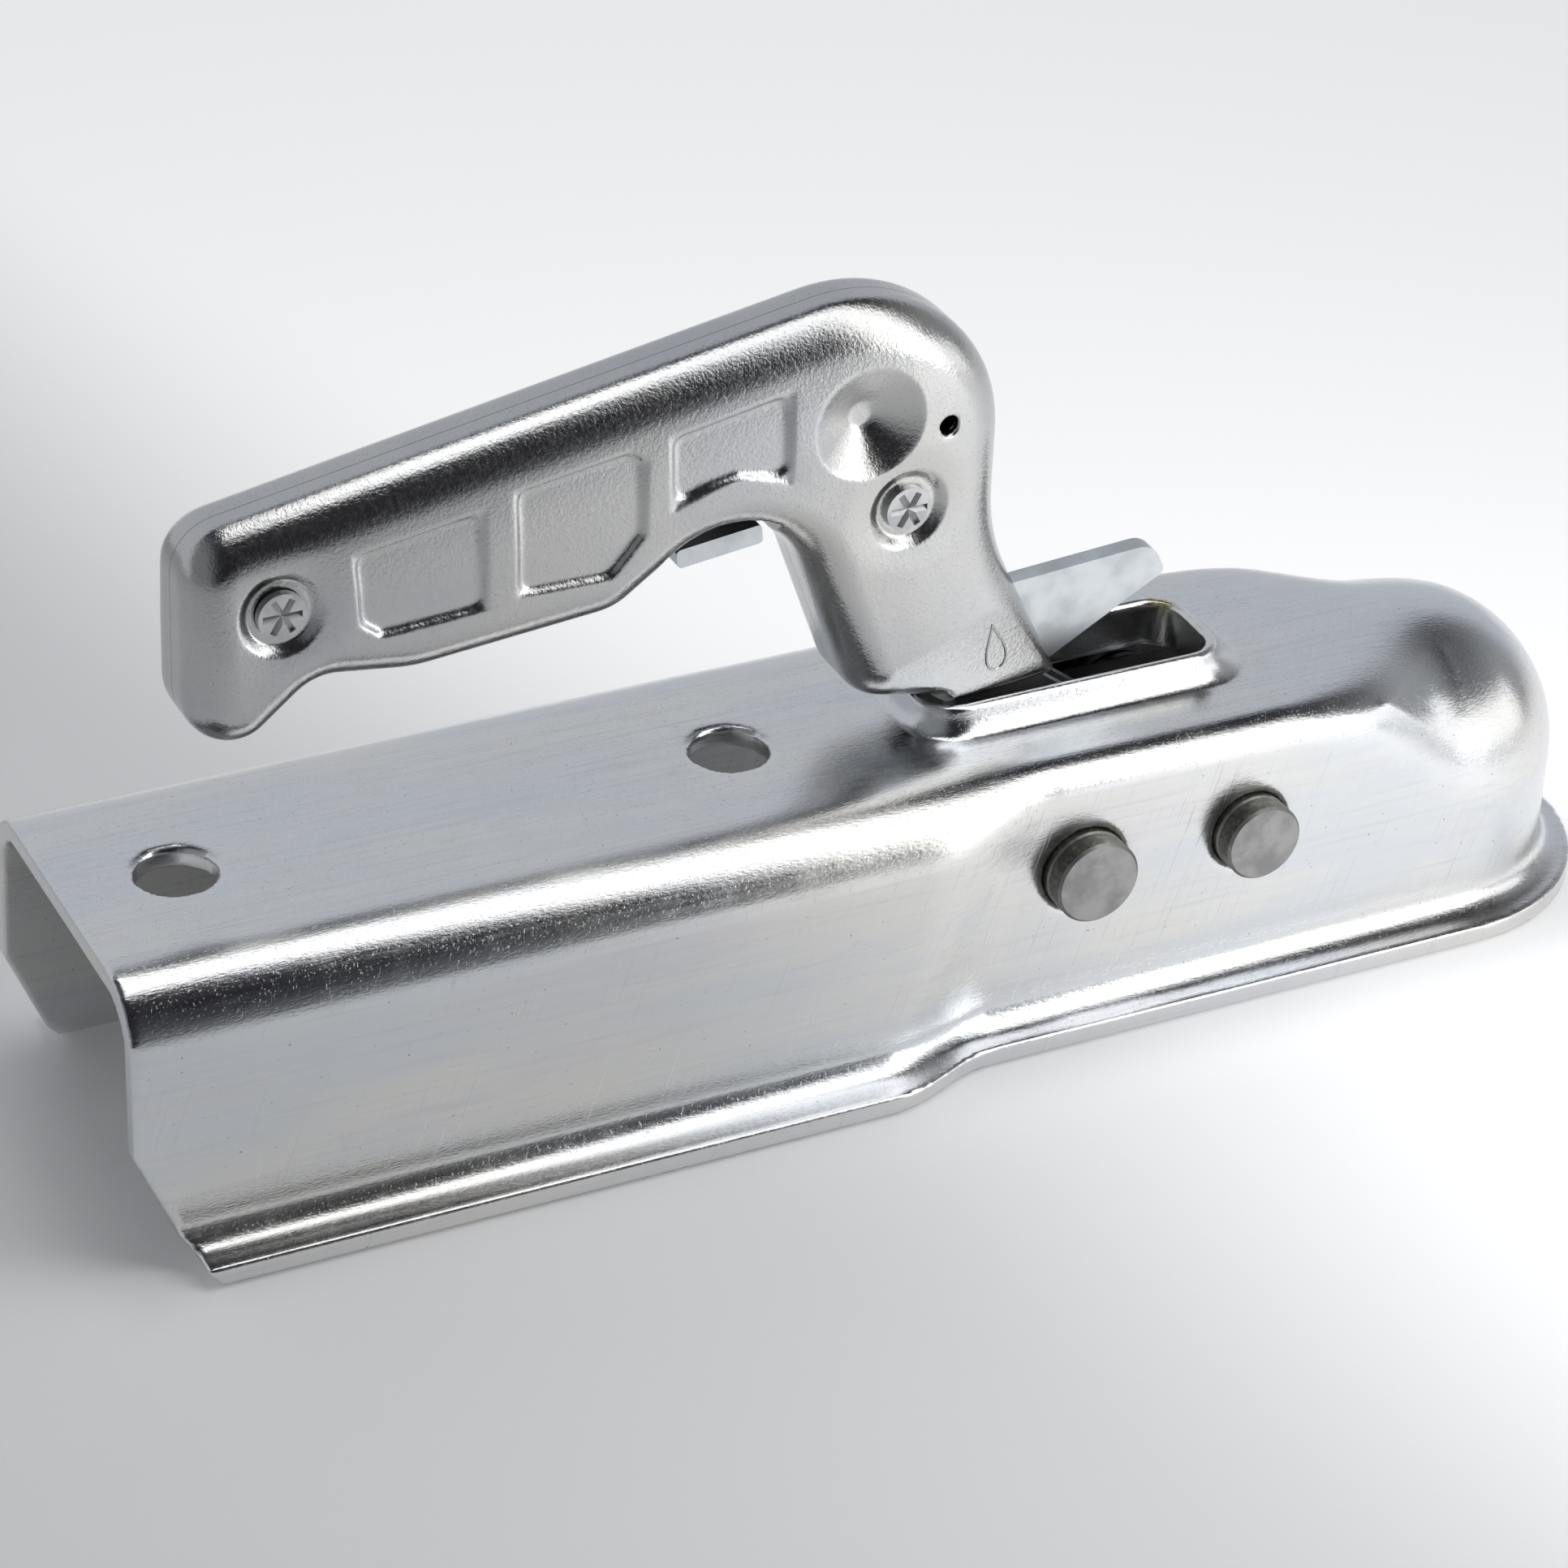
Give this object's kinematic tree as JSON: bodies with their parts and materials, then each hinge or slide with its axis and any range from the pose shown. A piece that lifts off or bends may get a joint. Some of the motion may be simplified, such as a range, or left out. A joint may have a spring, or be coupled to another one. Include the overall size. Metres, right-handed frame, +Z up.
{
  "type": "trailer coupling head",
  "caption": "Pressed steel coupling head that closes over a towing ball, with a raised lever handle, finger release, sliding ball jaw and a channel bolted to a square drawbar.",
  "frame": {"origin": "centre of the towing ball that the head closes over", "axes": "+X towards the nose, +Z up out of the rim plane, +Y to the far side; the handle lies above the rear channel"},
  "size_m": [0.296, 0.0852, 0.1394],
  "materials": {
    "body_zinc": "pressed sheet, bright zinc plated, brushed streaks",
    "handle_zinc": "pressed sheet, bright zinc plated, faint orange peel",
    "pin_steel": "turned steel, matt grey",
    "rivet_steel": "formed steel head, satin",
    "inner_steel": "stamped steel, dull zinc",
    "lever_zinc": "stamped steel, matt bluish zinc",
    "spring_steel": "oiled spring wire"
  },
  "bodies": {
    "housing": {"coupling_body": "body_zinc", "front_pivot_pin": "pin_steel", "rear_latch_pin": "pin_steel", "rear_sleeve_near": "inner_steel", "rear_sleeve_far": "inner_steel", "jaw_spring_near": "spring_steel", "jaw_spring_far": "spring_steel"},
    "jaw": {"ball_jaw": "inner_steel", "jaw_drive_pin": "pin_steel"},
    "handle": {"handle_shell_near": "handle_zinc", "handle_shell_far": "handle_zinc", "grip_rivet": "rivet_steel", "leg_rivet": "rivet_steel", "grip_spacer": "inner_steel", "lever_bush": "inner_steel", "cam_plate_near": "inner_steel", "cam_plate_far": "inner_steel", "cam_bush": "inner_steel", "cam_washer_near": "inner_steel", "cam_washer_far": "inner_steel", "lever_spring": "spring_steel"},
    "finger_lever": {"finger_lever": "lever_zinc"}
  },
  "joints": [
    {"name": "handle_hinge", "type": "hinge", "parent": "housing", "child": "handle", "pos_m": [-0.0484, 0, 0.0083], "axis": [0, 1, 0], "range_deg": [0, 50], "stiffness_Nm_per_rad": 0.3, "springref_deg": -20.05},
    {"name": "jaw_slide", "type": "slide", "parent": "housing", "child": "jaw", "axis": [-1, 0, 0], "range_m": [0, 0.01213], "deforming": ["jaw_spring_near", "jaw_spring_far"]},
    {"name": "release_hinge", "type": "hinge", "parent": "handle", "child": "finger_lever", "pos_m": [-0.1112, 0, 0.0765], "axis": [0, 1, 0], "range_deg": [0, 5], "stiffness_Nm_per_rad": 0.5, "springref_deg": -11.46, "deforming": ["lever_spring"]}
  ],
  "couplings": [
    {"joint": "jaw_slide", "follows": "handle_hinge", "m_per_rad": 0.013893}
  ]
}
